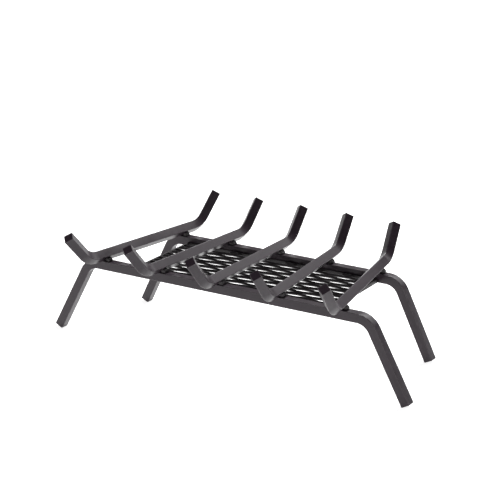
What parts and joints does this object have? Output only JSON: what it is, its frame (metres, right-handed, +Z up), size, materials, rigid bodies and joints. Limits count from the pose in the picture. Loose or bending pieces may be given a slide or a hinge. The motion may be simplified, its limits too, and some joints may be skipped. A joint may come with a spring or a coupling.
{
  "type": "log grate",
  "caption": "Steel log grate: bent square-bar rails on splayed legs carry crossbars with upturned ends, with an expanded-metal ember screen between the rails.",
  "frame": {"origin": "on the floor, under the middle of the overall box", "axes": "+X along the rails to the right as seen from the front, +Y from the front to the rear, +Z up. The longer rail is the front one, at -Y."},
  "size_m": [0.6944, 0.374, 0.2075],
  "materials": {
    "bar_paint": "satin charcoal powder coat",
    "weld_paint": "satin charcoal powder coat over a weld bead",
    "screen_paint": "satin charcoal powder coat on expanded metal"
  },
  "bodies": {
    "root": {"front_rail": "bar_paint", "rear_rail": "bar_paint", "crossbar_1": "bar_paint", "crossbar_2": "bar_paint", "crossbar_3": "bar_paint", "crossbar_4": "bar_paint", "crossbar_5": "bar_paint", "weld_front_1_left": "weld_paint", "weld_front_1_right": "weld_paint", "weld_front_2_left": "weld_paint", "weld_front_2_right": "weld_paint", "weld_front_3_left": "weld_paint", "weld_front_3_right": "weld_paint", "weld_front_4_left": "weld_paint", "weld_front_4_right": "weld_paint", "weld_front_5_left": "weld_paint", "weld_front_5_right": "weld_paint", "weld_rear_1_left": "weld_paint", "weld_rear_1_right": "weld_paint", "weld_rear_2_left": "weld_paint", "weld_rear_2_right": "weld_paint", "weld_rear_3_left": "weld_paint", "weld_rear_3_right": "weld_paint", "weld_rear_4_left": "weld_paint", "weld_rear_4_right": "weld_paint", "weld_rear_5_left": "weld_paint", "weld_rear_5_right": "weld_paint", "ember_screen": "screen_paint"}
  },
  "joints": []
}
